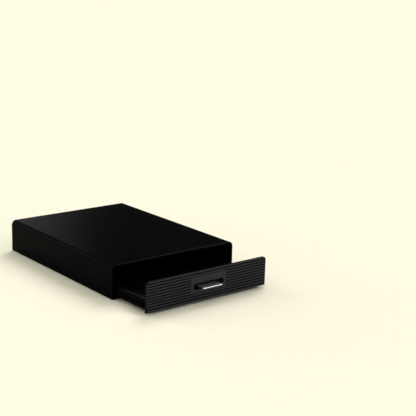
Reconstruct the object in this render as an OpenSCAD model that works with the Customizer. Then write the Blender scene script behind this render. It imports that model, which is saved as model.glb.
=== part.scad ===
// Storage drawer for coffee pods: a low casing with a sliding tray and a ribbed front.
// X runs left to right, Y from the front to the back, Z up. The drawer stands part way open.
// The origin is on the worktop, under the middle of the whole outline.

/* [Casing] */
// Overall width of the casing
case_w = 250; // [220:1:320]
// Overall depth of the casing, from its front edge to its back edge
case_d = 330; // [300:1:420]
// Overall height of the casing, rubber feet included
case_h = 57.5; // [54:0.5:80]
// Thickness of the side walls
case_wall = 2.8; // [2.4:0.1:4.4]
// Thickness of the roof
roof_t = 4; // [3:0.1:6]
// Outside radius of the two long top edges
case_corner_r = 9; // [6:0.5:14]
// Thickness of the bottom plate
base_t = 1.8; // [1.6:0.1:4]
// Thickness of the back panel
rear_t = 2.2; // [1.6:0.1:4]
// How far the lips that hold the back panel stand in from the walls
lip_h = 2; // [1.4:0.1:3]
// Width of each lip, from front to back
lip_w = 2.4; // [1.6:0.1:4]

/* [Feet] */
// Diameter of a rubber foot
foot_d = 16; // [10:0.5:22]
// How far a foot stands out under the bottom plate
foot_h = 1.2; // [0.8:0.1:3]
// Depth of the pocket that a foot is glued into
foot_pocket = 0.6; // [0.3:0.1:1]
// Distance of a foot's centre from the casing's side and end
foot_inset = 25; // [20:1:45]

/* [Drawer front] */
// Thickness of the plate behind the ribs
front_plate_t = 2.8; // [2.2:0.1:4]
// How far the ribs stand out from the plate
rib_out = 1.8; // [1.2:0.1:3]
// Number of ribs over the height of the front
rib_count = 11; // [10:1:13]
// Width of a groove between two ribs, at the face
groove_w = 1.9; // [1:0.1:2.4]
// Depth of a groove
groove_d = 1.4; // [0.6:0.1:1.7]
// Gap between the shut front and the casing, all round
front_gap = 0.5; // [0.4:0.1:1.2]

/* [Handle] */
// Width of the smooth bezel
bezel_w = 72; // [66:1:90]
// Number of ribs that the bezel takes the place of
bezel_ribs = 6; // [5:1:7]
// Number of ribs under the bezel
ribs_under = 3; // [2:1:4]
// Width of the recess in the bezel
recess_w = 62; // [54:1:64]
// Height of the recess
recess_h = 10.2; // [9:0.1:11]
// Depth of the recess behind the bezel's face
recess_d = 5.4; // [4.8:0.1:7]
// How far the recess's centre lies under the bezel's centre
recess_drop = 2.6; // [1.5:0.1:3.5]
// Wall thickness of the recess's cup
cup_wall = 1.4; // [1:0.1:2]
// Width of the pull tab
tab_w = 39; // [30:1:44]
// Thickness of the pull tab
tab_t = 3.1; // [2.6:0.1:3.6]
// How far the pull tab stands out in front of the bezel
tab_reach = 11.5; // [8:0.5:18]
// How far the pull tab's centre lies under the recess's centre
tab_drop = 0.9; // [0.4:0.1:1.4]
// Radius of the pull tab's front corners
tab_corner_r = 1.6; // [0.8:0.1:4]

/* [Tray] */
// Height of the tray's walls, from its underside
tray_h = 18.8; // [16.5:0.1:20]
// Thickness of the tray's walls
tray_wall = 2; // [1.6:0.1:3]
// Thickness of the tray's floor
tray_floor = 2; // [1.4:0.1:3]
// Gap between the tray's underside and the bottom plate
tray_lift = 0.9; // [0.6:0.1:1.5]
// Radius of the tray's bottom edges
tray_edge_r = 3.5; // [3.2:0.1:5]
// Radius of the tray's rear corners, seen from above
tray_corner_r = 7; // [6:0.5:12]
// Gap between the shut tray and the lip in front of the back panel
tray_end_gap = 2.6; // [1:0.1:6]
// Thickness of a lane divider
divider_t = 1.6; // [1.2:0.1:2.4]
// Height of a lane divider over the tray's floor
divider_h = 14; // [10:0.5:14.5]

/* [Slides] */
// How far each side guide stands in from the casing's wall
guide_t = 5.2; // [4.8:0.1:7]
// Gap between the shut front and the side guides
guide_gap = 4.4; // [0.6:0.1:8]
// Thickness of the guide's upright web
guide_web = 2; // [1.6:0.1:2.4]
// Thickness of the guide's flanges and of the walls round its groove
flange_t = 1.2; // [1:0.1:1.5]
// Depth of the guide's groove
slot_d = 3.2; // [2.6:0.1:3.4]
// Gap between the tray's side and the guide
side_gap = 0.7; // [0.4:0.1:1.2]
// Height of a glide strip
glide_h = 4.2; // [3:0.1:5]
// Height of a glide strip's underside over the tray's underside
glide_lift = 5.8; // [5.2:0.1:7]
// Gap over and under a glide strip in its groove
glide_gap = 0.4; // [0.3:0.05:0.6]
// Height of the stop nib over the glide strip
nib_h = 4; // [2.5:0.1:5]
// Length of the stop nib
nib_len = 8; // [5:0.5:14]
// Full travel of the drawer, from shut to its stop
travel = 225; // [150:1:235]
// How far the drawer stands open
open_by = 88; // [20:1:140]

/* [Screws] */
// Thread diameter of the casing's screws
case_screw_d = 2.4; // [2:0.1:2.6]
// Head diameter of the casing's countersunk screws
case_head_d = 4.4; // [4:0.1:4.8]
// Thread diameter of the screws that hold the front to the tray
panel_screw_d = 2.5; // [2:0.1:3]
// Washer head diameter of those screws
panel_head_d = 9.4; // [8.6:0.1:10.5]
// Outside diameter of the front's screw bosses
panel_boss_d = 7; // [6:0.1:7.6]
// Thread diameter of the screws behind the bezel and the pull tab
small_screw_d = 1.9; // [1.6:0.1:2]
// Head diameter of those screws
small_head_d = 3.8; // [3.2:0.1:4.2]

/* [Hidden] */
$fn = 48;

// Small shared gaps
fit = 0.15;       // between pieces that are fixed together
thread_gap = 0.04; // round a screw's thread in its hole
bite = 0.5;       // how far joined solids run into each other

// Casing levels
floor_z = foot_h + base_t;
in_x = case_w / 2 - case_wall;
in_z = case_h - roof_t;
in_r = max(case_corner_r - case_wall, 0.8);

// Casing, from front to back
rear_lip_y = case_d - lip_w;
rear_panel_y = rear_lip_y - fit - rear_t;
front_lip_y = rear_panel_y - fit - lip_w;

// Drawer front. The shut drawer's face is at y = 0
front_t = front_plate_t + rib_out;
front_x = in_x - front_gap;
front_z0 = floor_z + front_gap;
front_z1 = in_z - front_gap;
rib_pitch = (front_z1 + groove_w / 2 - front_z0) / rib_count;

// Handle
bezel_z0 = front_z0 + ribs_under * rib_pitch;
bezel_z1 = bezel_z0 + bezel_ribs * rib_pitch;
recess_z = (bezel_z0 + bezel_z1) / 2 - recess_drop;
cup_back_y = recess_d + cup_wall;
tab_z = recess_z - tab_drop;
tab_z0 = tab_z - tab_t / 2;
bezel_boss_d = small_screw_d + 2.8;
bezel_boss_x = recess_w / 2 - 9;
bezel_boss_z = (recess_z + recess_h / 2 + cup_wall + bezel_z1) / 2;
pull_screw_x = tab_w / 2 - 7;
pull_screw_len = 8;

// Side guides
guide_in_x = in_x - guide_t;
guide_out_x = in_x - fit;
guide_y0 = front_t + guide_gap;
guide_y1 = front_lip_y - 0.5;
guide_end_t = 2;

// Tray
lanes = 5;
tray_x = guide_in_x - side_gap;
tray_y0 = front_t;
tray_y1 = front_lip_y - tray_end_gap;
tray_z0 = floor_z + tray_lift;
tray_z1 = tray_z0 + tray_h;
tray_floor_z = tray_z0 + tray_floor;
lane_w = (2 * (tray_x - tray_wall) - (lanes - 1) * divider_t) / lanes;
lane_pitch = lane_w + divider_t;
divider_y0 = tray_y0 + tray_wall + fit;
divider_y1 = tray_y1 - tray_wall - fit;
divider_corner_r = 4;
holder_t = 1.4;
holder_out = 3;
notch_x = recess_w / 2 + cup_wall + 1;
notch_z = recess_z - recess_h / 2 - cup_wall - 0.5;

// Glide strips and their grooves
glide_z0 = tray_z0 + glide_lift;
glide_z1 = glide_z0 + glide_h;
glide_out_x = guide_in_x + slot_d - 0.5;
glide_y0 = tray_y0 + 10;
glide_y1 = tray_y1 - tray_corner_r;
slot_z0 = glide_z0 - glide_gap;
slot_z1 = glide_z1 + glide_gap;
slot_tall_z1 = slot_z1 + nib_h;
slot_back_x = guide_in_x + slot_d;
stop_gap = 0.4;
stop_y = glide_y1 - nib_len - travel - stop_gap;
peg_d = 3;
peg_ys = [for (i = [0:2]) glide_y0 + 12 + i * (glide_y1 - glide_y0 - 24 - nib_len) / 2];

// Screws
case_shank_gap = 0.3;
sink_h = 1.4;
boss_len = 10;
base_screw_ys = [for (i = [0:2]) guide_y0 + boss_len + i * (guide_y1 - guide_y0 - 2 * boss_len) / 2];
base_screw_x = guide_in_x + case_screw_d / 2 + 0.8;
base_screw_z1 = slot_z0 - flange_t - 0.6;
guide_screw_ys = [for (i = [0:2]) guide_y0 + 34 + i * (guide_y1 - guide_y0 - 68) / 2];
guide_screw_z = (slot_tall_z1 + in_z - in_r) / 2;
shell_boss_d = case_screw_d + 3.6;
guide_screw_x1 = in_x + case_wall - 1.2;
panel_screw_z = tray_floor_z + panel_head_d / 2 + 1;
panel_screw_xs = [for (i = [-2, -1, 1, 2]) i * lane_pitch];
panel_boss_y1 = tray_y0 + tray_wall - fit;
panel_screw_y0 = 1.2;
washer_t = 1;

// Where the outline's middle lies
front_most_y = -open_by - tab_reach;
mid_y = (case_d + front_most_y) / 2;

black_satin = [0.07, 0.07, 0.075];
black_inside = [0.09, 0.09, 0.1];
charcoal = [0.17, 0.17, 0.18];
bezel_grey = [0.2, 0.2, 0.21];
rubber_black = [0.05, 0.05, 0.05];
nylon = [0.75, 0.75, 0.72];
bright = [0.85, 0.86, 0.88];
zinc = [0.6, 0.6, 0.62];

// ---- Shared helpers ----

// Places a piece of the casing
module in_casing() {
    translate([0, -mid_y, 0])
        children();
}

// Places a piece of the drawer, modelled as it stands when shut
module in_drawer() {
    translate([0, -mid_y - open_by, 0])
        children();
}

module both_sides() {
    children();
    mirror([1, 0, 0])
        children();
}

// Extrudes an outline drawn in X and Z from y0 towards the back
module along_y(y0, len) {
    translate([0, y0 + len, 0])
        rotate([90, 0, 0])
            linear_extrude(len)
                children();
}

// Extrudes an outline drawn in Y and Z from x0 to the right
module along_x(x0, len) {
    translate([x0, 0, 0])
        rotate([90, 0, 90])
            linear_extrude(len)
                children();
}

module rect_2d(x0, z0, x1, z1) {
    translate([x0, z0])
        square([x1 - x0, z1 - z0]);
}

// Outline with square feet and two rounded top corners
module arch_2d(half_w, z0, z1, r) {
    rect_2d(-half_w, z0, half_w, z1 - r);
    rect_2d(-half_w + r, z0, half_w - r, z1);
    for (x = [-half_w + r, half_w - r])
        translate([x, z1 - r])
            circle(r);
}

// The casing's opening, drawn in by a gap
module opening_2d(gap, z0) {
    arch_2d(in_x - gap, z0, in_z - gap, max(in_r - gap, 0.5));
}

// Slot outline with round ends
module stadium_2d(w, h) {
    square([w - h, h], center = true);
    for (x = [-(w - h) / 2, (w - h) / 2])
        translate([x, 0])
            circle(d = h);
}

// Rectangle with all four corners rounded
module soft_rect_2d(x0, y0, x1, y1, r) {
    rect_2d(x0 + r, y0, x1 - r, y1);
    rect_2d(x0, y0 + r, x1, y1 - r);
    for (x = [x0 + r, x1 - r], y = [y0 + r, y1 - r])
        translate([x, y])
            circle(r);
}

// A cylinder from point y0 towards the back
module rod_y(x, y0, z, d, len) {
    translate([x, y0, z])
        rotate([-90, 0, 0])
            cylinder(d = d, h = len);
}

// A cylinder from point x0 to the right
module rod_x(x0, y, z, d, len) {
    translate([x0, y, z])
        rotate([0, 90, 0])
            cylinder(d = d, h = len);
}

// Countersunk screw along +Z, its head's face at z = 0
module sunk_screw(d, head_d, len) {
    cross_w = d * 0.28;
    difference() {
        union() {
            cylinder(d1 = head_d, d2 = d, h = sink_h);
            cylinder(d = d, h = len);
        }
        for (turn = [0, 90])
            rotate([0, 0, turn])
                translate([-head_d * 0.3, -cross_w / 2, -1])
                    cube([head_d * 0.6, cross_w, 1 + sink_h * 0.6]);
    }
}

// The hole that such a screw sinks into
module sunk_hole(d, head_d, len) {
    cylinder(d1 = head_d + 2 * fit, d2 = d + case_shank_gap, h = sink_h);
    translate([0, 0, -1])
        cylinder(d = head_d + 2 * fit, h = 1);
    cylinder(d = d + case_shank_gap, h = len);
}

// Round-head screw along -Y: its head's underside is at y0, its shank runs forward
module round_screw(x, y0, z, d, head_d, washer, len) {
    cross_w = d * 0.28;
    head_h = d * 0.85;
    dome_d = washer > 0 ? head_d * 0.68 : head_d;
    difference() {
        union() {
            rod_y(x, y0 - len, z, d, len + head_h / 2);
            if (washer > 0)
                rod_y(x, y0, z, head_d, washer);
            intersection() {
                rod_y(x, y0, z, dome_d, head_h + washer);
                translate([x, y0 + head_h + washer - dome_d * 0.75, z])
                    sphere(d = dome_d * 1.5);
            }
        }
        for (turn = [0, 90])
            translate([x, y0 + washer + head_h + 1, z])
                rotate([90, turn, 0])
                    translate([-dome_d * 0.3, -cross_w / 2, 0])
                        cube([dome_d * 0.6, cross_w, 1 + head_h * 0.6]);
    }
}

// ---- Casing ----

module shell_screw_bosses() {
    for (y = guide_screw_ys)
        rod_x(guide_in_x + guide_web + fit, y, guide_screw_z, shell_boss_d, guide_t - guide_web + bite - fit);
}

module shell_screw_holes() {
    for (y = guide_screw_ys)
        rod_x(guide_in_x, y, guide_screw_z, case_screw_d + 2 * thread_gap, guide_screw_x1 - guide_in_x + thread_gap);
}

// One of the two lips that hold the back panel
module lip(y) {
    along_y(y, lip_w)
        difference() {
            opening_2d(-bite, floor_z + fit);
            opening_2d(lip_h, floor_z);
        }
}

module casing_shell() {
    color(black_satin)
        in_casing()
            difference() {
                union() {
                    along_y(0, case_d)
                        difference() {
                            arch_2d(case_w / 2, foot_h, case_h, case_corner_r);
                            opening_2d(0, foot_h - bite);
                        }
                    lip(front_lip_y);
                    lip(rear_lip_y);
                    both_sides()
                        shell_screw_bosses();
                }
                both_sides()
                    shell_screw_holes();
            }
}

module base_plate() {
    color(black_satin)
        in_casing()
            difference() {
                translate([-in_x + fit, 0, foot_h])
                    cube([2 * (in_x - fit), case_d, base_t]);
                both_sides() {
                    for (y = base_screw_ys)
                        translate([base_screw_x, y, foot_h])
                            sunk_hole(case_screw_d, case_head_d, base_t + 1);
                    for (y = [foot_inset, case_d - foot_inset])
                        translate([case_w / 2 - foot_inset, y, 0])
                            cylinder(d = foot_d + 2 * fit, h = foot_h + foot_pocket);
                }
            }
}

module rear_panel() {
    color(black_satin)
        in_casing()
            along_y(rear_panel_y, rear_t)
                opening_2d(fit, floor_z + fit);
}

// Section of a guide whose groove is open from slot_z0 up to slot_top
module guide_2d(slot_top) {
    intersection() {
        union() {
            rect_2d(guide_in_x, floor_z, guide_in_x + guide_web, slot_z0);
            rect_2d(guide_in_x, slot_top, guide_in_x + guide_web, in_z);
            rect_2d(guide_in_x, slot_z0 - flange_t, slot_back_x + flange_t, slot_z0);
            rect_2d(guide_in_x, slot_top, slot_back_x + flange_t, slot_top + flange_t);
            rect_2d(slot_back_x, slot_z0 - flange_t, slot_back_x + flange_t, slot_top + flange_t);
            rect_2d(guide_in_x, floor_z, in_x, floor_z + flange_t + fit);
            rect_2d(guide_in_x, in_z - in_r - flange_t, in_x, in_z - in_r);
        }
        opening_2d(fit, floor_z + fit);
    }
}

// The right-hand guide
module guide() {
    difference() {
        union() {
            along_y(guide_y0, stop_y - guide_y0)
                guide_2d(slot_z1);
            along_y(stop_y, guide_y1 - stop_y)
                guide_2d(slot_tall_z1);
            along_y(guide_y0, guide_end_t)
                intersection() {
                    difference() {
                        rect_2d(guide_in_x, floor_z, in_x, in_z);
                        rect_2d(guide_in_x - bite, slot_z0, slot_back_x, slot_z1);
                    }
                    opening_2d(fit, floor_z + fit);
                }
            for (y = base_screw_ys)
                translate([guide_in_x, y - boss_len / 2, floor_z + fit])
                    cube([guide_t - fit, boss_len, slot_z0 - floor_z - fit - flange_t / 2]);
        }
        for (y = base_screw_ys)
            translate([base_screw_x, y, floor_z])
                cylinder(d = case_screw_d + 2 * thread_gap, h = base_screw_z1 - floor_z);
        for (y = guide_screw_ys)
            translate([guide_in_x, y, guide_screw_z])
                rotate([0, 90, 0])
                    sunk_hole(case_screw_d, case_head_d, guide_web + 1);
    }
}

module guide_right() {
    color(black_inside)
        in_casing()
            guide();
}

module guide_left() {
    color(black_inside)
        in_casing()
            mirror([1, 0, 0])
                guide();
}

module foot(side, y) {
    soft = 0.4;
    color(rubber_black)
        in_casing()
            translate([side * (case_w / 2 - foot_inset), y, 0]) {
                cylinder(d1 = foot_d - 2 * soft, d2 = foot_d, h = soft);
                translate([0, 0, soft])
                    cylinder(d = foot_d, h = foot_h + foot_pocket - soft);
            }
}

module foot_front_left() {
    foot(-1, foot_inset);
}

module foot_front_right() {
    foot(1, foot_inset);
}

module foot_rear_left() {
    foot(-1, case_d - foot_inset);
}

module foot_rear_right() {
    foot(1, case_d - foot_inset);
}

module base_screws() {
    color(zinc)
        in_casing()
            for (side = [-1, 1], y = base_screw_ys)
                translate([side * base_screw_x, y, foot_h])
                    sunk_screw(case_screw_d, case_head_d, base_screw_z1 - foot_h - fit);
}

module guide_screws() {
    color(zinc)
        in_casing()
            both_sides()
                for (y = guide_screw_ys)
                    translate([guide_in_x, y, guide_screw_z])
                        rotate([0, 90, 0])
                            sunk_screw(case_screw_d, case_head_d, guide_screw_x1 - guide_in_x);
}

// ---- Drawer ----

// A tub's outside: rounded bottom edges at its sides and back, and rounded rear corners
module tub(half_w, y0, y1, z0, z1, edge_r, corner_r) {
    intersection() {
        along_y(y0, y1 - y0)
            soft_rect_2d(-half_w, z0, half_w, z1 + edge_r, edge_r);
        along_x(-half_w, 2 * half_w)
            soft_rect_2d(y0 - edge_r, z0, y1, z1 + edge_r, edge_r);
        translate([0, 0, z0])
            linear_extrude(z1 - z0)
                soft_rect_2d(-half_w, y0 - 2 * corner_r, half_w, y1, corner_r);
    }
}

// Ribs at one end of the tray that hold a divider upright
module divider_holders(y) {
    for (i = [1:lanes - 1], side = [-1, 1])
        translate([(i - lanes / 2) * lane_pitch + side * (divider_t / 2 + fit + holder_t / 2), y, 0])
            translate([-holder_t / 2, 0, tray_floor_z - bite])
                cube([holder_t, holder_out, divider_h + bite]);
}

module drawer_tray() {
    color(black_inside)
        in_drawer()
            difference() {
                union() {
                    difference() {
                        tub(tray_x, tray_y0, tray_y1, tray_z0, tray_z1, tray_edge_r, tray_corner_r);
                        tub(tray_x - tray_wall, tray_y0 + tray_wall, tray_y1 - tray_wall, tray_floor_z,
                            tray_z1 + 1, max(tray_edge_r - tray_wall, 0.6), tray_corner_r - tray_wall);
                    }
                    divider_holders(tray_y0 + tray_wall - bite);
                    divider_holders(tray_y1 - tray_wall - holder_out + bite);
                }
                for (x = panel_screw_xs)
                    rod_y(x, tray_y0 - 1, panel_screw_z, panel_boss_d + 2 * fit, tray_wall + 2);
                translate([-notch_x, tray_y0 - 1, notch_z])
                    cube([2 * notch_x, tray_wall + 2, tray_h]);
                both_sides()
                    for (y = peg_ys)
                        rod_x(tray_x - tray_wall - 1, y, (glide_z0 + glide_z1) / 2, peg_d + 2 * fit, tray_wall + 2);
            }
}

// Divider number i, counted from the left
module lane_divider(i) {
    color(black_inside)
        in_drawer()
            along_x((i - lanes / 2) * lane_pitch - divider_t / 2, divider_t)
                translate([(divider_y0 + divider_y1) / 2, 0])
                    arch_2d((divider_y1 - divider_y0) / 2, tray_floor_z, tray_floor_z + divider_h, divider_corner_r);
}

module lane_divider_1() {
    lane_divider(1);
}

module lane_divider_2() {
    lane_divider(2);
}

module lane_divider_3() {
    lane_divider(3);
}

module lane_divider_4() {
    lane_divider(4);
}

// The right-hand glide strip, with its pegs and its stop nib
module glide() {
    translate([tray_x, glide_y0, glide_z0])
        cube([glide_out_x - tray_x, glide_y1 - glide_y0, glide_h]);
    translate([tray_x, glide_y1 - nib_len, glide_z0])
        cube([glide_out_x - tray_x, nib_len, glide_h + nib_h - glide_gap]);
    for (y = peg_ys)
        rod_x(tray_x - tray_wall, y, (glide_z0 + glide_z1) / 2, peg_d, tray_wall + bite);
}

module glide_right() {
    color(nylon)
        in_drawer()
            glide();
}

module glide_left() {
    color(nylon)
        in_drawer()
            mirror([1, 0, 0])
                glide();
}

// Tapered groove between two ribs, centred on height z
module rib_groove(z) {
    along_x(-front_x - 1, 2 * front_x + 2)
        polygon([
            [-1, z - groove_w / 2], [0, z - groove_w / 2], [groove_d, z - groove_w / 4],
            [groove_d, z + groove_w / 4], [0, z + groove_w / 2], [-1, z + groove_w / 2]
        ]);
}

module front_panel() {
    color(charcoal)
        in_drawer()
            difference() {
                union() {
                    along_y(0, front_t)
                        opening_2d(front_gap, front_z0);
                    for (x = panel_screw_xs)
                        rod_y(x, front_t - bite, panel_screw_z, panel_boss_d, panel_boss_y1 - front_t + bite);
                }
                for (i = [1:rib_count - 1])
                    rib_groove(front_z0 + i * rib_pitch);
                along_y(-1, rib_out + 1)
                    rect_2d(-bezel_w / 2 - fit, bezel_z0 - fit, bezel_w / 2 + fit, bezel_z1 + fit);
                along_y(-1, front_t + 2)
                    translate([0, recess_z])
                        stadium_2d(recess_w + 2 * cup_wall + 2 * fit, recess_h + 2 * cup_wall + 2 * fit);
                for (x = [-bezel_boss_x, bezel_boss_x])
                    rod_y(x, 0, bezel_boss_z, bezel_boss_d + 2 * fit, front_t + 1);
                for (x = panel_screw_xs)
                    rod_y(x, panel_screw_y0 + rib_out / 2, panel_screw_z, panel_screw_d + 2 * thread_gap, front_t + tray_wall);
            }
}

module handle_bezel() {
    color(bezel_grey)
        in_drawer()
            difference() {
                union() {
                    along_y(0, rib_out)
                        soft_rect_2d(-bezel_w / 2, bezel_z0, bezel_w / 2, bezel_z1, 0.6);
                    along_y(rib_out - bite, cup_back_y - rib_out + bite)
                        translate([0, recess_z])
                            stadium_2d(recess_w + 2 * cup_wall, recess_h + 2 * cup_wall);
                    for (x = [-bezel_boss_x, bezel_boss_x])
                        rod_y(x, rib_out - bite, bezel_boss_z, bezel_boss_d, front_t - rib_out + bite - fit);
                }
                along_y(-1, recess_d + 1)
                    translate([0, recess_z])
                        stadium_2d(recess_w, recess_h);
                for (x = [-bezel_boss_x, bezel_boss_x])
                    rod_y(x, 0.9, bezel_boss_z, small_screw_d + 2 * thread_gap, front_t);
                for (x = [-pull_screw_x, pull_screw_x])
                    rod_y(x, recess_d - 1, tab_z, small_screw_d + case_shank_gap, cup_wall + 2);
            }
}

module pull_tab() {
    color(bright)
        in_drawer()
            difference() {
                translate([0, 0, tab_z0])
                    linear_extrude(tab_t) {
                        rect_2d(-tab_w / 2, -tab_reach / 2, tab_w / 2, recess_d);
                        soft_rect_2d(-tab_w / 2, -tab_reach, tab_w / 2, 0, tab_corner_r);
                    }
                for (x = [-pull_screw_x, pull_screw_x])
                    rod_y(x, recess_d - pull_screw_len, tab_z, small_screw_d + 2 * thread_gap, pull_screw_len + 1);
            }
}

module panel_screws() {
    color(zinc)
        in_drawer()
            for (x = panel_screw_xs)
                round_screw(x, tray_y0 + tray_wall, panel_screw_z, panel_screw_d, panel_head_d, washer_t,
                    tray_y0 + tray_wall - panel_screw_y0 - rib_out / 2 - thread_gap);
}

module bezel_screws() {
    color(zinc)
        in_drawer()
            for (x = [-bezel_boss_x, bezel_boss_x])
                round_screw(x, front_t, bezel_boss_z, small_screw_d, bezel_boss_d + 1.2, 0.6, front_t - 1);
}

module pull_screws() {
    color(zinc)
        in_drawer()
            for (x = [-pull_screw_x, pull_screw_x])
                round_screw(x, cup_back_y, tab_z, small_screw_d, small_head_d, 0, cup_wall + pull_screw_len - thread_gap);
}

casing_shell();
base_plate();
rear_panel();
guide_left();
guide_right();
foot_front_left();
foot_front_right();
foot_rear_left();
foot_rear_right();
base_screws();
guide_screws();
drawer_tray();
lane_divider_1();
lane_divider_2();
lane_divider_3();
lane_divider_4();
glide_left();
glide_right();
front_panel();
handle_bezel();
pull_tab();
panel_screws();
bezel_screws();
pull_screws();
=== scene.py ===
"""Models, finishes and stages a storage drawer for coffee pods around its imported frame."""

import math

import bmesh
import bpy
from bpy.props import FloatProperty, FloatVectorProperty, IntProperty, PointerProperty
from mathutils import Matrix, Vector


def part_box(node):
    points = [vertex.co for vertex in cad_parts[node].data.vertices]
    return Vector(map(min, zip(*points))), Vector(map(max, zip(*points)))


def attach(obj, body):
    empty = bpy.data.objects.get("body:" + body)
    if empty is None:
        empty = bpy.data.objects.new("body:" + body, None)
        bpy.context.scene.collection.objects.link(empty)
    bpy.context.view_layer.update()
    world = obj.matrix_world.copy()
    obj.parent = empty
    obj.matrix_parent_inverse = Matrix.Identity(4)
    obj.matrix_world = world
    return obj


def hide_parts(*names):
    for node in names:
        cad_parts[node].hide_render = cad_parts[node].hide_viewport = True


bl_info = {
    "name": "Coffee Pod Drawer",
    "version": (1, 0, 0),
    "blender": (4, 5, 0),
    "location": "View3D > Sidebar > Pod Drawer",
    "description": "Models and finishes a low storage drawer for coffee pods",
    "category": "Object",
}

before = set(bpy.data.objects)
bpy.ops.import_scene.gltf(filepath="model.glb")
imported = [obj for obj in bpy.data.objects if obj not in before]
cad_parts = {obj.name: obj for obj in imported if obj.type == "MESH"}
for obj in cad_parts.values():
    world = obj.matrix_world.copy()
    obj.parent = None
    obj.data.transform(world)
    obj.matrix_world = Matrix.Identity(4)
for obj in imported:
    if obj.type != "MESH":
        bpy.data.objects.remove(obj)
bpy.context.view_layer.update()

MM = 0.001
TOLERANCE = 0.02 * MM
X, Y, Z = range(3)

# Places that the frame gives, and its nodes that are modelled alike
FACE_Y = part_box("handle_bezel")[0].y
WORKTOP_Z = 0.0
FEET = ["foot_front_left", "foot_front_right", "foot_rear_left", "foot_rear_right"]
DIVIDERS = ["lane_divider_1", "lane_divider_2", "lane_divider_3", "lane_divider_4"]

# Corners nearer than this are merged
MERGE_WITHIN = 0.002 * MM
# A face looks along an axis when its normal has at least this share along it
LOOKS_ALONG = 0.9
# Faces that meet at less than this angle, in degrees, are shaded as one
SMOOTH_BELOW = 35
# How far a cutter goes through a thin wall
THROUGH = 1 * MM
# Width of a groove's floor against its mouth
GROOVE_FLOOR = 0.85
# Share of the tray's wall from which a face counts as its inside
INSIDE_FROM = 0.6

# The sockets of a Mix node that mixes colours
MIX_FACTOR, MIX_FIRST, MIX_SECOND, MIX_RESULT = 0, 6, 7, 2
# Where most of a noise pattern lies, and most of a brushed one
NOISE_RANGE = (0.3, 0.7)
BRUSHED_RANGE = (0.35, 0.65)
# Tints of the plastics' gloss
COOL_SHEEN = (0.82, 0.86, 1.0)
CASING_SHEEN = (0.77, 0.82, 0.98)

# Camera: place in metres, turn in degrees, lens and sensor in millimetres, shift in widths of the frame
CAMERA_PLACE = (-0.93787, -1.32589, 0.52194)
CAMERA_TURN = (76.8894, -1.5173, -38.7448)
CAMERA_LENS = 83.78
CAMERA_SENSOR = 36
CAMERA_SHIFT = (0.0220, -0.0441)
CAMERA_CLIP = (0.05, 80)
FLOOR_SIZE = 60

# Dome of light: strength at the horizon, how much is added overhead, and how steeply it rises to that
DOME_EDGE = 0.01
DOME_TOP = 1.0
DOME_POWER = 3.0
# Soft patches in the dome: turn from +Y towards +X, rise, full and outer angle in degrees, strength.
# Two low behind the drawer show as a sheen on its roof and its long left edge, and a wide one at its left
# lightens the shadow there
PATCHES = (
    (12, 14, 15, 20.5, 0.85),
    (-30, 22, 14, 26, 2.0),
    (-95, 30, 10, 40, 0.65),
)
# Height of the pale backdrop in reflections: full and outer rise in degrees
BACKDROP_FULL = 2
BACKDROP_END = 6
# Two suns: strength, angle in degrees and where they stand from the origin
KEY_STRENGTH = 1.56
KEY_SOFTNESS = 36
KEY_FROM = (0.70, 0.40, 0.80)
FILL_STRENGTH = 0.80
FILL_SOFTNESS = 40
FILL_FROM = (0.45, -0.8, 0.4)


def length(name, description, millimetres):
    """A length that a user can set."""
    return FloatProperty(
        name=name, description=description, default=millimetres * MM, min=0.0, unit="LENGTH"
    )


def colour(name, description, value):
    """A colour that a user can set."""
    return FloatVectorProperty(
        name=name, description=description, default=value, size=3, min=0.0, max=1.0, subtype="COLOR"
    )


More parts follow.
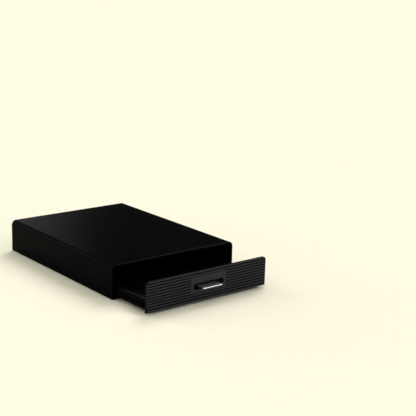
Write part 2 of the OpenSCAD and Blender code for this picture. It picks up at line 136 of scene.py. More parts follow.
class PodDrawerSizes(bpy.types.PropertyGroup):
    """Sizes of the drawer's pieces."""

    side_wall: length("Side wall", "Thickness of the casing's side walls", 2.8)
    roof: length("Roof", "Thickness of the casing's roof", 4.0)
    casing_corner: length("Casing corner", "Outside radius of the long top edges", 9.0)
    casing_lip: length("Casing lip", "Radius of the casing's front and back edges", 1.3)
    lip_height: length("Back lip", "How far the lips round the back panel stand in", 2.0)
    lip_width: length("Back lip width", "Width of each lip round the back panel", 2.4)
    fit: length("Fit", "Gap between pieces that are fixed together", 0.15)
    soft_edge: length("Soft edge", "Radius of a moulded edge", 0.45)
    foot_edge: length("Foot edge", "Radius of a foot's lower edge", 0.4)
    foot_rim: length("Foot rim", "Width of the flat rim round the groove under a foot", 1.6)
    foot_groove: length("Foot groove", "Width of the groove under a foot", 0.9)
    foot_groove_depth: length("Foot groove depth", "Depth of the groove under a foot", 0.35)
    front_gap: length("Front gap", "Gap round the drawer front when it is shut", 0.5)
    front_thickness: length("Front thickness", "Thickness of the drawer front, ribs included", 4.6)
    front_edge: length("Front edge", "Radius of the drawer front's outer edge", 0.7)
    ribs: IntProperty(name="Ribs", description="Ribs over the drawer front's height", default=11, min=4)
    groove: length("Groove", "Width of a groove between two ribs", 1.9)
    groove_depth: length("Groove depth", "Depth of a groove between two ribs", 1.6)
    groove_end: length("Groove end", "Closed strip between a groove and the front's side", 1.2)
    rib_edge: length("Rib edge", "Radius of a rib's edges", 0.4)
    boss: length("Boss", "Diameter of the bosses behind the drawer front", 7.0)
    pilot_hole: length("Pilot hole", "Diameter of the screw holes in the front's bosses", 2.6)
    bezel_depth: length("Bezel depth", "Thickness of the smooth bezel's plate", 1.8)
    bezel_corner: length("Bezel corner", "Radius of the bezel's four corners", 0.8)
    bezel_edge: length("Bezel edge", "Radius of the edge round the bezel's face", 0.35)
    bezel_boss: length("Bezel boss", "Diameter of the bosses behind the bezel", 4.7)
    recess_width: length("Recess width", "Width of the recess behind the pull tab", 62.0)
    recess_height: length("Recess height", "Height of the recess", 10.2)
    recess_depth: length("Recess depth", "Depth of the recess behind the bezel's face", 5.4)
    recess_drop: length("Recess drop", "How far the recess lies under the bezel's middle", 2.6)
    recess_edge: length("Recess edge", "Radius of the edge round the recess", 0.5)
    recess_floor_edge: length("Recess floor edge", "Radius round the recess's floor", 0.7)
    cup_wall: length("Cup wall", "Wall thickness of the recess's cup", 1.4)
    cup_edge: length("Cup edge", "Radius of the cup's back edge", 0.8)
    tab_taper: length("Tab taper", "How far the pull tab's top slopes down to its front", 1.15)
    tab_rise: length("Tab rise", "How far the pull tab's underside slopes up to its front", 0.45)
    tab_corner: length("Tab corner", "Radius of the pull tab's front corners", 1.6)
    tab_edge: length("Tab edge", "Radius of the pull tab's edges", 0.3)
    tray_wall: length("Tray wall", "Thickness of the tray's walls", 2.0)
    tray_floor: length("Tray floor", "Thickness of the tray's floor", 2.0)
    tray_bottom_edge: length("Tray bottom edge", "Radius of the tray's bottom edges", 3.5)
    tray_corner: length("Tray corner", "Radius of the tray's rear corners", 7.0)
    tray_rim_edge: length("Tray rim edge", "Radius of the tray's top edges", 0.5)
    notch_side: length("Notch side", "Gap at each side of the cup in the tray's front wall", 1.0)
    notch_below: length("Notch below", "Gap under the cup in the tray's front wall", 0.5)
    divider_corner: length("Divider corner", "Radius of a divider's top corners", 4.0)
    divider_edge: length("Divider edge", "Radius of a divider's long edges", 0.5)
    holder: length("Holder", "Thickness of the ribs that hold a divider", 1.4)
    holder_reach: length("Holder reach", "How far the holders stand out of the tray's wall", 2.85)
    holder_edge: length("Holder edge", "Radius of a holder's top edges", 0.3)


class PodDrawerColours(bpy.types.PropertyGroup):
    """Colours of the drawer's finishes and of the floor."""

    casing: colour("Casing", "Satin black of the casing", (0.0012, 0.0012, 0.0015))
    inside: colour("Inside", "Black of the tray's outside and the guides", (0.0016, 0.0016, 0.0020))
    lanes: colour("Lanes", "Black of the tray's inside and the dividers", (0.0050, 0.0050, 0.0058))
    # The ribs' charcoal is partly the front's own tone and partly painted light: the faces that look forward
    # are lighter than the same plastic on the front's sides
    front: colour("Front", "Charcoal of the ribs", (0.0255, 0.0255, 0.0325))
    # Painted shade: a black that stands for the shade in the grooves between the ribs and in the recess, and
    # on the sides and back of the front and the bezel
    groove: colour("Grooves", "Black between the ribs and in the recess", (0.0024, 0.0024, 0.0026))
    bezel: colour("Bezel", "Charcoal of the smooth bezel", (0.0235, 0.0240, 0.0320))
    tab: colour("Pull tab", "Bright metal of the pull tab", (0.86, 0.89, 0.97))
    rubber: colour("Rubber", "Rubber of the feet", (0.012, 0.012, 0.012))
    steel: colour("Steel", "Zinc-plated steel of the drawer's screws", (0.52, 0.52, 0.54))
    black_steel: colour("Black steel", "Blackened steel of the casing's screws", (0.045, 0.045, 0.050))
    floor: colour("Floor", "Pale floor", (0.975, 0.935, 0.740))


def sizes():
    """The drawer's sizes, as set in this scene."""
    return bpy.context.scene.pod_drawer_sizes


def colours():
    """The finishes' colours, as set in this scene."""
    return bpy.context.scene.pod_drawer_colours


# ---- Selecting and shaping ----


def activate(obj):
    """Leaves obj as the only selected object."""
    bpy.ops.object.select_all(action="DESELECT")
    obj.select_set(True)
    bpy.context.view_layer.objects.active = obj


def apply_place(obj):
    """Moves an object's place, turn and scale into its mesh."""
    activate(obj)
    bpy.ops.object.transform_apply(location=True, rotation=True, scale=True)


def near(a, b):
    """True where two places are the same, but for rounding."""
    return abs(a - b) < TOLERANCE


def runs_along(edge, axis):
    """True where an edge is parallel to an axis."""
    a, b = (v.co for v in edge.verts)
    return all(near(a[i], b[i]) for i in range(3) if i != axis)


def lies_at(element, axis, *places):
    """True where all of an edge or face lies in one of the planes across an axis."""
    return any(all(near(v.co[axis], place) for v in element.verts) for place in places)


def turns_from(edge, axis):
    """True where an edge is between a face that looks along an axis and one that doesn't."""
    along = [abs(face.normal[axis]) > LOOKS_ALONG for face in edge.link_faces]
    return any(along) and not all(along)


def middle(element):
    """The middle of an edge's or face's corners."""
    return sum((v.co for v in element.verts), Vector()) / len(element.verts)


def pick(obj, kind, test):
    """Selects the vertices, edges or faces for which test is true. The object is in edit mode."""
    bpy.ops.mesh.select_all(action="DESELECT")
    bpy.ops.mesh.select_mode(type={"verts": "VERT", "edges": "EDGE", "faces": "FACE"}[kind])
    mesh = bmesh.from_edit_mesh(obj.data)
    chosen = [element for element in getattr(mesh, kind) if test(element)]
    if not chosen:
        raise RuntimeError(f"nothing to pick among the {kind} of {obj.name}")
    for element in chosen:
        element.select_set(True)
    bmesh.update_edit_mesh(obj.data)


class Editing:
    """Edit mode on one object, for a with block."""

    def __init__(self, obj):
        self.obj = obj

    def __enter__(self):
        activate(self.obj)
        bpy.ops.object.mode_set(mode="EDIT")

    def __exit__(self, *_):
        bpy.ops.object.mode_set(mode="OBJECT")


def round_edges(obj, test, radius, segments=3):
    """Rounds the edges for which test is true."""
    with Editing(obj):
        pick(obj, "edges", test)
        bpy.ops.mesh.bevel(
            offset=radius, offset_type="OFFSET", segments=segments, profile=0.5, affect="EDGES"
        )


def change(obj, kind, **values):
    """Adds a modifier and applies it."""
    activate(obj)
    modifier = obj.modifiers.new(kind.lower(), kind)
    for name, value in values.items():
        setattr(modifier, name, value)
    bpy.ops.object.modifier_apply(modifier=modifier.name)


def combine(obj, operation, *others):
    """Cuts obj with the others, joins them to it or keeps what they share. The others are used up."""
    for other in others:
        change(obj, "BOOLEAN", operation=operation, object=other, solver="EXACT")
        bpy.data.objects.remove(other)


def cut(obj, *others):
    combine(obj, "DIFFERENCE", *others)


def join(obj, *others):
    combine(obj, "UNION", *others)


def add_box(name, low, high):
    """A box between two corners."""
    low, high = Vector(low), Vector(high)
    bpy.ops.object.select_all(action="DESELECT")
    bpy.ops.mesh.primitive_cube_add(size=1, location=(low + high) / 2, scale=high - low)
    obj = bpy.context.object
    apply_place(obj)
    obj.name = obj.data.name = name
    return obj


def add_rod(name, axis, start, end, radius, vertices=48):
    """A cylinder along an axis, from the point start to the point end."""
    start, end = Vector(start), Vector(end)
    turn = {X: (0, math.pi / 2, 0), Y: (math.pi / 2, 0, 0), Z: (0, 0, 0)}[axis]
    bpy.ops.object.select_all(action="DESELECT")
    bpy.ops.mesh.primitive_cylinder_add(
        vertices=vertices,
        radius=radius,
        depth=(end - start).length,
        location=(start + end) / 2,
        rotation=turn,
    )
    obj = bpy.context.object
    apply_place(obj)
    obj.name = obj.data.name = name
    return obj


def add_stadium(name, centre, width, height, y0, y1, vertices=64):
    """A bar along Y whose outline is a slot with round ends. centre is its x and z."""
    x, z = centre
    obj = add_rod(name, Y, (0, y0, 0), (0, y1, 0), height / 2, vertices)
    half_step = math.pi / vertices
    with Editing(obj):
        bpy.ops.mesh.select_all(action="SELECT")
        bpy.ops.transform.rotate(value=half_step, orient_axis="Y", center_override=(0, 0, 0))
        for side in (-1, 1):
            pick(obj, "verts", lambda v, side=side: v.co.x * side > 0)
            bpy.ops.transform.translate(value=(side * (width - height) / 2, 0, 0))
        bpy.ops.mesh.select_all(action="SELECT")
        bpy.ops.transform.translate(value=(x, 0, z))
    return obj


def add_arch(name, low, high, radius, segments=8):
    """A box with its two top edges along Y rounded."""
    obj = add_box(name, low, high)
    round_edges(obj, lambda e: runs_along(e, Y) and lies_at(e, Z, Vector(high).z), radius, segments)
    return obj


def copy_to(obj, name, shift):
    """A copy with its own mesh, moved by shift."""
    activate(obj)
    bpy.ops.object.duplicate(linked=False)
    twin = bpy.context.object
    twin.location = Vector(shift)
    apply_place(twin)
    twin.name = twin.data.name = name
    return twin


def finish_piece(obj, name, body, finish, node):
    """Smooths a piece, gives it its finish and puts it on its body in place of its CAD node."""
    with Editing(obj):
        bpy.ops.mesh.select_all(action="SELECT")
        bpy.ops.mesh.remove_doubles(threshold=MERGE_WITHIN)
        bpy.ops.mesh.dissolve_degenerate(threshold=MERGE_WITHIN)
    activate(obj)
    bpy.ops.object.shade_smooth_by_angle(angle=math.radians(SMOOTH_BELOW))
    change(obj, "WEIGHTED_NORMAL", keep_sharp=True, weight=100)
    obj.name = obj.data.name = name
    obj.data.materials.clear()
    obj.data.materials.append(finish_named(finish))
    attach(obj, body)
    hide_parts(node)


def paint(obj, finish, test):
    """Gives a further finish to the faces for which test is true."""
    obj.data.materials.append(finish_named(finish))
    with Editing(obj):
        pick(obj, "faces", test)
        obj.active_material_index = len(obj.data.materials) - 1
        bpy.ops.object.material_slot_assign()


# ---- Finishes ----


class Finish:
    """A material with one Principled shader, and short calls that add nodes to it."""

    def __init__(self, name, roughness, metallic=0.0, ior=1.5):
        self.material = bpy.data.materials.new(name)
        self.material.use_nodes = True
        self.tree = self.material.node_tree
        self.shader = self.tree.nodes["Principled BSDF"]
        self.shader.inputs["Roughness"].default_value = roughness
        self.shader.inputs["Metallic"].default_value = metallic
        self.shader.inputs["IOR"].default_value = ior
        self.place = self.tree.nodes.new("ShaderNodeTexCoord").outputs["Object"]

    def link(self, output, node_input):
        self.tree.links.new(output, node_input)

    def stretch(self, scale):
        """Object coordinates, stretched along each axis."""
        node = self.tree.nodes.new("ShaderNodeMapping")
        node.inputs["Scale"].default_value = scale
        self.link(self.place, node.inputs["Vector"])
        return node.outputs["Vector"]

    def noise(self, scale, detail=2.0, vector=None):
        """A noise pattern with scale features to a metre."""
        node = self.tree.nodes.new("ShaderNodeTexNoise")
        node.inputs["Scale"].default_value = scale
        node.inputs["Detail"].default_value = detail
        self.link(vector or self.place, node.inputs["Vector"])
        return node.outputs["Fac"]

    def remap(self, pattern, pattern_range, low, high):
        """Moves a pattern's range to low and high, clamped."""
        node = self.tree.nodes.new("ShaderNodeMapRange")
        names = ("From Min", "From Max", "To Min", "To Max")
        for name, number in zip(names, (*pattern_range, low, high)):
            node.inputs[name].default_value = number
        self.link(pattern, node.inputs["Value"])
        return node.outputs["Result"]

    def blend(self, factor, first, second):
        """A colour between two, by a pattern."""
        node = self.tree.nodes.new("ShaderNodeMix")
        node.data_type = "RGBA"
        node.inputs[MIX_FIRST].default_value = (*first, 1)
        node.inputs[MIX_SECOND].default_value = (*second, 1)
        self.link(factor, node.inputs[MIX_FACTOR])
        return node.outputs[MIX_RESULT]

    def colour_from(self, output):
        self.link(output, self.shader.inputs["Base Color"])

    def roughness_from(self, output):
        self.link(output, self.shader.inputs["Roughness"])

    def bump_from(self, *layers):
        """Stacks bumps, each a pattern and its height in metres."""
        normal = None
        for pattern, height in layers:
            node = self.tree.nodes.new("ShaderNodeBump")
            node.inputs["Strength"].default_value = 1.0
            node.inputs["Distance"].default_value = height
            self.link(pattern, node.inputs["Height"])
            if normal:
                self.link(normal, node.inputs["Normal"])
            normal = node.outputs["Normal"]
        self.link(normal, self.shader.inputs["Normal"])


def tinted(value, factor):
    """A colour made darker or lighter."""
    return tuple(min(1.0, channel * factor) for channel in value)


def moulded_finish(name, value, roughness, grain=0.010 * MM, ior=1.3, uneven=0.05, sheen=COOL_SHEEN):
    """Satin moulded plastic: fine grain, faint flow marks and slightly uneven gloss."""
    finish = Finish(name, roughness, ior=ior)
    finish.shader.inputs["Specular Tint"].default_value = (*sheen, 1.0)
    cloudy = finish.remap(finish.noise(22, detail=3), NOISE_RANGE, 0, 1)
    worn = finish.noise(60, detail=4)
    fine = finish.noise(2600, detail=2)
    flow = finish.noise(35, detail=1)
    flow_height = uneven * 0.08 * MM
    finish.colour_from(finish.blend(cloudy, tinted(value, 0.86), tinted(value, 1.14)))
    finish.roughness_from(finish.remap(worn, NOISE_RANGE, roughness - uneven, roughness + uneven))
    finish.bump_from((fine, grain), (flow, flow_height))
    return finish.material


def satin_metal_finish(name, value):
    """Satin plating, slightly hazy and brushed along X."""
    finish = Finish(name, 0.24, metallic=0.93)
    hazy = finish.noise(40)
    brushed = finish.noise(700, detail=1, vector=finish.stretch((0.05, 1, 1)))
    finish.colour_from(finish.blend(hazy, tinted(value, 0.95), value))
    finish.roughness_from(finish.remap(brushed, BRUSHED_RANGE, 0.21, 0.27))
    finish.bump_from((brushed, 0.0004 * MM))
    return finish.material


def steel_finish(name, value):
    """Plated steel, slightly dull and cloudy."""
    finish = Finish(name, 0.34, metallic=1.0)
    cloudy = finish.noise(900, detail=3)
    fine = finish.noise(4000, detail=1)
    finish.colour_from(finish.blend(cloudy, tinted(value, 0.90), tinted(value, 1.08)))
    finish.roughness_from(finish.remap(cloudy, NOISE_RANGE, 0.30, 0.38))
    finish.bump_from((fine, 0.0006 * MM))
    return finish.material


def rubber_finish(name, value):
    """Matt rubber with a pitted skin."""
    finish = Finish(name, 0.8, ior=1.3)
    pits = finish.noise(3200, detail=2)
    finish.colour_from(finish.blend(pits, tinted(value, 0.8), tinted(value, 1.3)))
    finish.roughness_from(finish.remap(pits, NOISE_RANGE, 0.72, 0.88))
    finish.bump_from((pits, 0.02 * MM))
    return finish.material


def finish_named(name):
    """The finish of that name, made on its first use."""
    if name not in bpy.data.materials:
        values = colours()
        makers = {
            "satin_black": lambda: moulded_finish(
                name, values.casing, 0.21, ior=1.054, uneven=0.02, sheen=CASING_SHEEN
            ),
            "rim_black": lambda: moulded_finish(name, values.casing, 0.2, ior=1.088, uneven=0.02),
            "tray_black": lambda: moulded_finish(name, values.inside, 0.55, grain=0.016 * MM, ior=1.08),
            "lane_black": lambda: moulded_finish(name, values.lanes, 0.5, grain=0.012 * MM, ior=1.25),
            "charcoal_ribs": lambda: moulded_finish(name, values.front, 0.45, ior=1.25),
            "charcoal_bezel": lambda: moulded_finish(name, values.bezel, 0.42, grain=0.006 * MM, ior=1.25),
            # Painted shade in the grooves, the recess and on the sides and back of the front and the bezel,
            # made from the grooves' black
            "groove_black": lambda: moulded_finish(name, values.groove, 0.5, ior=1.08),
            "glide_black": lambda: moulded_finish(name, values.inside, 0.4, grain=0.004 * MM, ior=1.04),
            "satin_tab": lambda: satin_metal_finish(name, values.tab),
            "screw_zinc": lambda: steel_finish(name, values.steel),
            "screw_black": lambda: steel_finish(name, values.black_steel),
            "foot_pad": lambda: rubber_finish(name, values.rubber),
        }
        makers[name]()
    return bpy.data.materials[name]


# ---- Pieces ----


class PODDRAWER_OT_casing_shell(bpy.types.Operator):
    """Model the casing's roof and side walls"""

    bl_idname = "pod_drawer.casing_shell"
    bl_label = "Casing shell"

    def execute(self, context):
        size = sizes()
        low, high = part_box("casing_shell")
        panel_low, panel_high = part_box("rear_panel")
        inside = max(abs(low.x), high.x) - size.side_wall
        ceiling = high.z - size.roof
        inner_corner = size.casing_corner - size.side_wall
        past = 10 * MM

        def void(name, y0, y1, inset=0.0):
            """A cutter for the space between the walls, from y0 to y1."""
            return add_arch(
                name,
                (-inside + inset, y0, low.z - past),
                (inside - inset, y1, ceiling - inset),
                max(inner_corner - inset, size.fit),
            )

        shell = add_arch("shell", low, high, size.casing_corner, segments=12)
        round_edges(shell, lambda e: lies_at(e, Y, low.y, high.y), size.casing_lip, segments=4)
        slot_front = panel_low.y - size.fit
        slot_rear = panel_high.y + size.fit
        cut(
            shell,
            void("void_main", low.y - past, slot_front - size.lip_width),
            void("void_lips", low.y, high.y + past, size.lip_height),
            void("void_slot", slot_front, slot_rear),
            add_box("void_floor", (-inside, low.y, low.z - past), (inside, high.y + past, panel_low.z)),
        )

        def at_mouth(edge):
            return (
                lies_at(edge, Y, low.y, high.y)
                and all(abs(v.co.x) < inside + TOLERANCE for v in edge.verts)
                and all(v.co.z < ceiling + TOLERANCE for v in edge.verts)
                and not lies_at(edge, Z, low.z)
            )

        round_edges(shell, at_mouth, size.soft_edge, segments=2)
        finish_piece(shell, "shell", "casing", "satin_black", "casing_shell")
        rim = low.y + size.casing_lip + TOLERANCE
        paint(shell, "rim_black", lambda f: all(v.co.y < rim for v in f.verts))
        return {"FINISHED"}


class PODDRAWER_OT_feet(bpy.types.Operator):
    """Model the four rubber feet"""

    bl_idname = "pod_drawer.feet"
    bl_label = "Feet"

    def execute(self, context):
        size = sizes()
        first_low, first_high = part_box(FEET[0])
        centre = (first_low + first_high) / 2
        radius = (first_high.x - first_low.x) / 2
        groove_outer = radius - size.foot_edge - size.foot_rim
        groove_inner = groove_outer - size.foot_groove
        foot = add_rod("foot", Z, (*centre.xy, first_low.z), (*centre.xy, first_high.z), radius)
        round_edges(foot, lambda e: lies_at(e, Z, first_low.z), size.foot_edge)

        def in_groove(face):
            from_centre = (middle(face) - centre).xy.length
            return lies_at(face, Z, first_low.z) and groove_inner < from_centre < groove_outer

        with Editing(foot):
            pick(foot, "faces", lambda f: lies_at(f, Z, first_low.z))
            bpy.ops.mesh.inset(thickness=size.foot_rim)
            bpy.ops.mesh.inset(thickness=size.foot_groove)
            pick(foot, "faces", in_groove)
            bpy.ops.mesh.extrude_region_move(TRANSFORM_OT_translate={"value": (0, 0, size.foot_groove_depth)})
        for node in FEET:
            low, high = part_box(node)
            twin = copy_to(foot, "rubber_" + node, (low + high) / 2 - centre)
            finish_piece(twin, "rubber_" + node, "casing", "foot_pad", node)
        bpy.data.objects.remove(foot)
        return {"FINISHED"}


def recess_centre(size):
    """The x and z of the recess's middle."""
    low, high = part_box("handle_bezel")
    return 0.0, (low.z + high.z) / 2 - size.recess_drop


def panel_screw_places():
    """The x and z of each screw that holds the front to the tray."""
    low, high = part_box("panel_screws")
    outer = high.x - (high.z - low.z) / 2
    return [(x, (low.z + high.z) / 2) for x in (-outer, -outer / 2, outer / 2, outer)]


def grooved_slab(size, low, high, back):
    """A slab larger than the drawer front, with the front's grooves in its face."""
    past = 8 * MM
    slab = add_box("slab", (low.x - past, FACE_Y, low.z - past), (high.x + past, back, high.z + past))
    pitch = (high.z + size.groove / 2 - low.z) / size.ribs
    grooves = [low.z + i * pitch for i in range(1, size.ribs)]
    half = size.groove / 2
    end = high.x - size.groove_end
    with Editing(slab):
        for z in grooves:
            for side in (-half, half):
                bpy.ops.mesh.select_all(action="SELECT")
                bpy.ops.mesh.bisect(plane_co=(0, FACE_Y, z + side), plane_no=(0, 0, 1))
        for x in (-end, end):
            bpy.ops.mesh.select_all(action="SELECT")
            bpy.ops.mesh.bisect(plane_co=(x, FACE_Y, 0), plane_no=(1, 0, 0))
        for z in grooves:
            pick(
                slab,
                "faces",
                lambda f, z=z: lies_at(f, Y, FACE_Y) and near(middle(f).z, z) and abs(middle(f).x) < end,
            )
            bpy.ops.mesh.extrude_region_move(TRANSFORM_OT_translate={"value": (0, size.groove_depth, 0)})
            bpy.ops.transform.resize(value=(1, 1, GROOVE_FLOOR), center_override=(0, FACE_Y, z))
    round_edges(
        slab,
        lambda e: lies_at(e, Y, FACE_Y, FACE_Y + size.groove_depth)
        and turns_from(e, Y)
        and abs(middle(e).x) < end + TOLERANCE,
        size.rib_edge,
    )
    return slab


class PODDRAWER_OT_front(bpy.types.Operator):
    """Model the ribbed drawer front"""

    bl_idname = "pod_drawer.front"
    bl_label = "Ribbed front"

    def execute(self, context):
        size = sizes()
        low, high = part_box("front_panel")
        bezel_low, bezel_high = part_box("handle_bezel")
        back = FACE_Y + size.front_thickness
        corner = size.casing_corner - size.side_wall - size.front_gap
        past = 8 * MM
        slab = grooved_slab(size, low, high, back)
        front = add_arch("front", (low.x, FACE_Y, low.z), (high.x, back, high.z), corner)
        round_edges(front, lambda e: lies_at(e, Y, FACE_Y), size.front_edge, segments=4)
        round_edges(front, lambda e: lies_at(e, Y, back), size.soft_edge, segments=2)
        combine(front, "INTERSECT", slab)

        # Pocket for the bezel's plate, window for its cup, and bosses for the screws through the tray
        fit = size.fit
        cut(
            front,
            add_box(
                "pocket",
                (bezel_low.x - fit, FACE_Y - past, bezel_low.z - fit),
                (bezel_high.x + fit, FACE_Y + size.bezel_depth, bezel_high.z + fit),
            ),
            add_stadium(
                "window",
                recess_centre(size),
                size.recess_width + 2 * (size.cup_wall + fit),
                size.recess_height + 2 * (size.cup_wall + fit),
                FACE_Y - past,
                back + past,
            ),
        )
        for x, z in panel_screw_places():
            root = (x, back - size.soft_edge, z)
            join(front, add_rod("boss", Y, root, (x, high.y, z), size.boss / 2))
            cut(front, add_rod("hole", Y, root, (x, high.y + past, z), size.pilot_hole / 2, vertices=24))
        finish_piece(front, "front", "drawer", "charcoal_ribs", "front_panel")
        # Painted shade: every face behind the ribs' rounded edges, that is the grooves, the sides, the back
        # and the bosses, gets a black for their shade
        painted_shade_from = FACE_Y + size.rib_edge + TOLERANCE
        paint(front, "groove_black", lambda f: any(v.co.y > painted_shade_from for v in f.verts))
        return {"FINISHED"}


class PODDRAWER_OT_bezel(bpy.types.Operator):
    """Model the smooth bezel and the cup behind its recess"""

    bl_idname = "pod_drawer.bezel"
    bl_label = "Handle bezel"

    def execute(self, context):
        size = sizes()
        low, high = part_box("handle_bezel")
        recess = recess_centre(size)
        back = FACE_Y + size.bezel_depth
        past = 5 * MM
        bezel = add_box("bezel", (low.x, FACE_Y, low.z), (high.x, back, high.z))
        round_edges(bezel, lambda e: runs_along(e, Y), size.bezel_corner, segments=4)
        round_edges(bezel, lambda e: lies_at(e, Y, FACE_Y), size.bezel_edge)
        cup = add_stadium(
            "cup",
            recess,
            size.recess_width + 2 * size.cup_wall,
            size.recess_height + 2 * size.cup_wall,
            back - size.soft_edge,
            high.y,
        )
        round_edges(cup, lambda e: lies_at(e, Y, high.y), size.cup_edge)
        join(bezel, cup)
        floor = FACE_Y + size.recess_depth
        cut(bezel, add_stadium("hollow", recess, size.recess_width, size.recess_height, FACE_Y - past, floor))

        def in_outline(edge, plane):
            spot = middle(edge)
            return (
                lies_at(edge, Y, plane)
                and abs(spot.x) < size.recess_width / 2 + TOLERANCE
                and abs(spot.z - recess[1]) < size.recess_height / 2 + TOLERANCE
            )

        round_edges(bezel, lambda e: in_outline(e, FACE_Y), size.recess_edge)
        round_edges(bezel, lambda e: in_outline(e, floor), size.recess_floor_edge)
        screw_low, screw_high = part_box("bezel_screws")
        screw_z = (screw_low.z + screw_high.z) / 2
        screw_x = screw_high.x - (screw_high.z - screw_low.z) / 2
        for x in (-screw_x, screw_x):
            start, end = (x, back - size.soft_edge, screw_z), (x, FACE_Y + size.front_thickness, screw_z)
            join(bezel, add_rod("boss", Y, start, end, size.bezel_boss / 2))
        finish_piece(bezel, "bezel", "drawer", "charcoal_bezel", "handle_bezel")
        # Painted shade: every face behind the rounded edge round the recess, that is the recess, the cup, the
        # plate's sides and the bosses, gets a black for their shade
        painted_shade_from = FACE_Y + size.recess_edge + TOLERANCE
        paint(bezel, "groove_black", lambda f: any(v.co.y > painted_shade_from for v in f.verts))
        return {"FINISHED"}


class PODDRAWER_OT_pull_tab(bpy.types.Operator):
    """Model the bright pull tab"""

    bl_idname = "pod_drawer.pull_tab"
    bl_label = "Pull tab"

    def execute(self, context):
        size = sizes()
        low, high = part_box("pull_tab")
        tab = add_box("tab", low, high)
        with Editing(tab):
            for place, shift in ((high.z, -size.tab_taper), (low.z, size.tab_rise)):
                pick(tab, "verts", lambda v, place=place: near(v.co.y, low.y) and near(v.co.z, place))
                bpy.ops.transform.translate(value=(0, 0, shift))
        round_edges(tab, lambda e: runs_along(e, Z) and lies_at(e, Y, low.y), size.tab_corner, segments=5)
        round_edges(
            tab, lambda e: turns_from(e, Z) and not lies_at(e, Y, high.y), size.tab_edge, segments=4
        )
        finish_piece(tab, "tab", "drawer", "satin_tab", "pull_tab")
        return {"FINISHED"}


def add_tub(name, low, high, edge, corner):
    """A box with rounded bottom edges and rounded rear corners."""
    obj = add_box(name, low, high)
    round_edges(obj, lambda e: runs_along(e, Z) and lies_at(e, Y, high.y), corner, segments=8)
    round_edges(obj, lambda e: lies_at(e, Z, low.z) and not lies_at(e, Y, low.y), edge, segments=5)
    return obj


def join_holders(tray, size, low, high):
    """Gives the tray the ribs that hold the dividers' ends upright."""
    base = low.z + size.tray_floor - size.fit
    front, rear = low.y + size.tray_wall, high.y - size.tray_wall
    ends = ((front - size.fit, front + size.holder_reach), (rear - size.holder_reach, rear + size.fit))
    for node in DIVIDERS:
        divider_low, divider_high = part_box(node)
        top = divider_high.z
        for y0, y1 in ends:
            for x in (divider_low.x - size.fit - size.holder, divider_high.x + size.fit):
                holder = add_box("holder", (x, y0, base), (x + size.holder, y1, top))
                round_edges(
                    holder,
                    lambda e, top=top: lies_at(e, Z, top) and runs_along(e, Y),
                    size.holder_edge,
                    segments=2,
                )
                join(tray, holder)


class PODDRAWER_OT_tray(bpy.types.Operator):
    """Model the sliding tray"""

    bl_idname = "pod_drawer.tray"
    bl_label = "Tray"

    def execute(self, context):
        size = sizes()
        low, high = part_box("drawer_tray")
        past = 5 * MM
        wall = Vector((size.tray_wall, size.tray_wall, 0))
        bottom = Vector((0, 0, size.tray_floor))
        tray = add_tub("tray", low, high, size.tray_bottom_edge, size.tray_corner)
        hollow = add_tub(
            "hollow",
            low + wall + bottom,
            high - wall + Vector((0, 0, past)),
            size.tray_bottom_edge - size.tray_wall,
            size.tray_corner - size.tray_wall,
        )
        cut(tray, hollow)

        # Notch for the recess's cup, and holes for the front's bosses
        front_wall_end = low.y + size.tray_wall + THROUGH
        notch_x = size.recess_width / 2 + size.cup_wall + size.notch_side
        notch_z = recess_centre(size)[1] - size.recess_height / 2 - size.cup_wall - size.notch_below
        notch = add_box("notch", (-notch_x, low.y - past, notch_z), (notch_x, front_wall_end, high.z + past))
        cut(tray, notch)
        round_edges(tray, lambda e: lies_at(e, Z, high.z), size.tray_rim_edge)
        for x, z in panel_screw_places():
            start, end = (x, low.y - past, z), (x, front_wall_end, z)
            cut(tray, add_rod("boss_hole", Y, start, end, size.boss / 2 + size.fit))
        join_holders(tray, size, low, high)
        finish_piece(tray, "tray", "drawer", "tray_black", "drawer_tray")
        inner_low = low + (wall + bottom) * INSIDE_FROM
        inner_high = high - wall * INSIDE_FROM
        paint(
            tray,
            "lane_black",
            lambda f: inner_low.x < middle(f).x < inner_high.x
            and inner_low.y < middle(f).y < inner_high.y
            and middle(f).z > inner_low.z,
        )
        return {"FINISHED"}


class PODDRAWER_OT_dividers(bpy.types.Operator):
    """Model the lane dividers"""

    bl_idname = "pod_drawer.dividers"
    bl_label = "Lane dividers"

    def execute(self, context):
        size = sizes()
        low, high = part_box(DIVIDERS[0])
        first = add_box("divider", low, high)
        round_edges(
            first, lambda e: runs_along(e, X) and lies_at(e, Z, high.z), size.divider_corner, segments=6
        )
        round_edges(
            first,
            lambda e: lies_at(e, X, low.x, high.x) and not lies_at(e, Z, low.z),
            size.divider_edge,
        )
        for i, node in enumerate(DIVIDERS, 1):
            twin = copy_to(first, f"divider_{i}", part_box(node)[0] - low)
            finish_piece(twin, f"divider_{i}", "drawer", "lane_black", node)
        bpy.data.objects.remove(first)
        return {"FINISHED"}


class PODDRAWER_OT_carried_over(bpy.types.Operator):
    """Finish the pieces that keep their frame shape"""

    bl_idname = "pod_drawer.carried_over"
    bl_label = "Plates, guides, glides and screws"

    def execute(self, context):
        finishes = {
            "satin_black": ["base_plate", "rear_panel"],
            "tray_black": ["guide_left", "guide_right"],
            "glide_black": ["glide_left", "glide_right"],
            "screw_zinc": ["panel_screws", "bezel_screws", "pull_screws"],
            "screw_black": ["base_screws", "guide_screws"],
        }
        for name, nodes in finishes.items():
            for node in nodes:
                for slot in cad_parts[node].material_slots:
                    slot.material = finish_named(name)
        return {"FINISHED"}


# ---- Stage ----


def lay_floor():
    """A wide pale floor."""
    bpy.ops.object.select_all(action="DESELECT")
    bpy.ops.mesh.primitive_plane_add(size=FLOOR_SIZE, location=(0, 0, WORKTOP_Z))
    floor = bpy.context.object
    floor.name = floor.data.name = "floor"
    value = tuple(colours().floor)
    finish = Finish("pale_floor", 0.9, ior=1.0)
    cloudy = finish.noise(3, detail=2)
    finish.colour_from(finish.blend(cloudy, tinted(value, 0.995), value))
    floor.data.materials.append(finish.material)


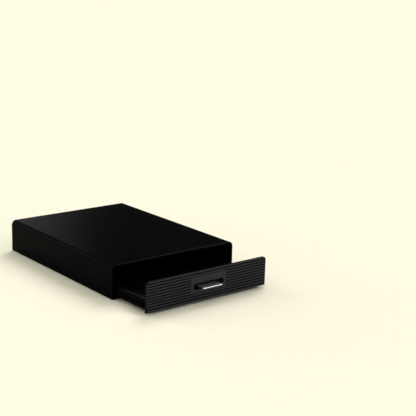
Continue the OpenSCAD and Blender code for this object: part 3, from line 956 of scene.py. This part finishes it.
class Sky:
    """The world's shader, and short calls that add nodes to it."""

    def __init__(self, name):
        world = bpy.data.worlds.new(name)
        world.use_nodes = True
        bpy.context.scene.world = world
        self.tree = world.node_tree
        self.direction = self.tree.nodes.new("ShaderNodeTexCoord").outputs["Generated"]

    def maths(self, operation, first, second):
        """Works on two terms, each a number or an output."""
        node = self.tree.nodes.new("ShaderNodeMath")
        node.operation = operation
        for socket, term in zip(node.inputs, (first, second)):
            if isinstance(term, (int, float)):
                socket.default_value = term
            else:
                self.tree.links.new(term, socket)
        return node.outputs["Value"]

    def ramp(self, value, start, end):
        """Goes softly from 0 to 1 as a value goes from start to end."""
        node = self.tree.nodes.new("ShaderNodeMapRange")
        node.interpolation_type = "SMOOTHSTEP"
        node.inputs["From Min"].default_value = start
        node.inputs["From Max"].default_value = end
        self.tree.links.new(value, node.inputs["Value"])
        return node.outputs["Result"]

    def height(self):
        """From 0 at the horizon to 1 overhead."""
        split = self.tree.nodes.new("ShaderNodeSeparateXYZ")
        self.tree.links.new(self.direction, split.inputs["Vector"])
        return self.maths("MAXIMUM", split.outputs["Z"], 0.0)

    def patch(self, turn, rise, full, outer):
        """A soft round patch, with its angles in degrees."""
        turn, rise = math.radians(turn), math.radians(rise)
        toward = self.tree.nodes.new("ShaderNodeVectorMath")
        toward.operation = "DOT_PRODUCT"
        toward.inputs[1].default_value = (
            math.sin(turn) * math.cos(rise),
            math.cos(turn) * math.cos(rise),
            math.sin(rise),
        )
        self.tree.links.new(self.direction, toward.inputs[0])
        return self.ramp(toward.outputs["Value"], math.cos(math.radians(outer)), math.cos(math.radians(full)))


def light_sky():
    """A dome of light with soft patches, and a pale backdrop."""
    sky = Sky("studio")
    height = sky.height()
    dome = sky.maths("MULTIPLY", sky.maths("POWER", height, DOME_POWER), DOME_TOP)
    dome = sky.maths("ADD", dome, DOME_EDGE)
    for turn, rise, full, outer, brightness in PATCHES:
        glow = sky.maths("MULTIPLY", sky.patch(turn, rise, full, outer), brightness)
        dome = sky.maths("ADD", dome, glow)

    # The camera sees the backdrop everywhere, mirrors and glass up to its top edge
    path = sky.tree.nodes.new("ShaderNodeLightPath")
    mirrored = sky.maths("MAXIMUM", path.outputs["Is Glossy Ray"], path.outputs["Is Transmission Ray"])
    below_top = sky.ramp(height, math.sin(math.radians(BACKDROP_END)), math.sin(math.radians(BACKDROP_FULL)))
    mirrored = sky.maths("MULTIPLY", mirrored, below_top)
    backdrop = sky.maths("MAXIMUM", path.outputs["Is Camera Ray"], mirrored)
    dome = sky.maths("MULTIPLY", dome, sky.maths("SUBTRACT", 1.0, backdrop))
    background = sky.tree.nodes["Background"]
    background.inputs["Color"].default_value = (1, 1, 1, 1)
    sky.tree.links.new(sky.maths("ADD", dome, backdrop), background.inputs["Strength"])


def hang_suns():
    """A soft key light from the right and behind, and a soft fill from the right and in front."""
    for name, place, strength, softness in (
        ("key", KEY_FROM, KEY_STRENGTH, KEY_SOFTNESS),
        ("fill", FILL_FROM, FILL_STRENGTH, FILL_SOFTNESS),
    ):
        bpy.ops.object.light_add(type="SUN", location=place)
        sun = bpy.context.object
        sun.name = sun.data.name = name
        sun.rotation_mode = "QUATERNION"
        sun.rotation_quaternion = (-Vector(place)).to_track_quat("-Z", "Y")
        sun.data.energy = strength
        sun.data.angle = math.radians(softness)


def place_camera():
    """The camera, in front of the drawer at its left."""
    camera = bpy.data.objects.new("camera", bpy.data.cameras.new("camera"))
    bpy.context.scene.collection.objects.link(camera)
    camera.location = CAMERA_PLACE
    camera.rotation_euler = [math.radians(turn) for turn in CAMERA_TURN]
    camera.data.sensor_width = CAMERA_SENSOR
    camera.data.lens = CAMERA_LENS
    camera.data.shift_x, camera.data.shift_y = CAMERA_SHIFT
    camera.data.clip_start, camera.data.clip_end = CAMERA_CLIP
    bpy.context.scene.camera = camera


class PODDRAWER_OT_stage(bpy.types.Operator):
    """Set up the floor, the light and the camera"""

    bl_idname = "pod_drawer.stage"
    bl_label = "Stage"

    def execute(self, context):
        context.scene.view_settings.view_transform = "Standard"
        lay_floor()
        light_sky()
        hang_suns()
        place_camera()
        return {"FINISHED"}


# ---- Add-on ----


PIECES = (
    PODDRAWER_OT_casing_shell,
    PODDRAWER_OT_feet,
    PODDRAWER_OT_front,
    PODDRAWER_OT_bezel,
    PODDRAWER_OT_pull_tab,
    PODDRAWER_OT_tray,
    PODDRAWER_OT_dividers,
    PODDRAWER_OT_carried_over,
    PODDRAWER_OT_stage,
)


class PODDRAWER_PT_pieces(bpy.types.Panel):
    """Lists the drawer's pieces, sizes and colours."""

    bl_idname = "PODDRAWER_PT_pieces"
    bl_label = "Pod Drawer"
    bl_space_type = "VIEW_3D"
    bl_region_type = "UI"
    bl_category = "Pod Drawer"

    def draw(self, context):
        for piece in PIECES:
            self.layout.operator(piece.bl_idname)
        for group in (sizes(), colours()):
            box = self.layout.box()
            for name in group.bl_rna.properties.keys():
                if name not in ("rna_type", "name"):
                    box.prop(group, name)


CLASSES = (PodDrawerSizes, PodDrawerColours, *PIECES, PODDRAWER_PT_pieces)


def register():
    for cls in CLASSES:
        bpy.utils.register_class(cls)
    bpy.types.Scene.pod_drawer_sizes = PointerProperty(type=PodDrawerSizes)
    bpy.types.Scene.pod_drawer_colours = PointerProperty(type=PodDrawerColours)


def unregister():
    del bpy.types.Scene.pod_drawer_colours
    del bpy.types.Scene.pod_drawer_sizes
    for cls in reversed(CLASSES):
        bpy.utils.unregister_class(cls)


def main():
    register()
    for piece in PIECES:
        group, name = piece.bl_idname.split(".")
        getattr(getattr(bpy.ops, group), name)()


if __name__ == "__main__":
    main()
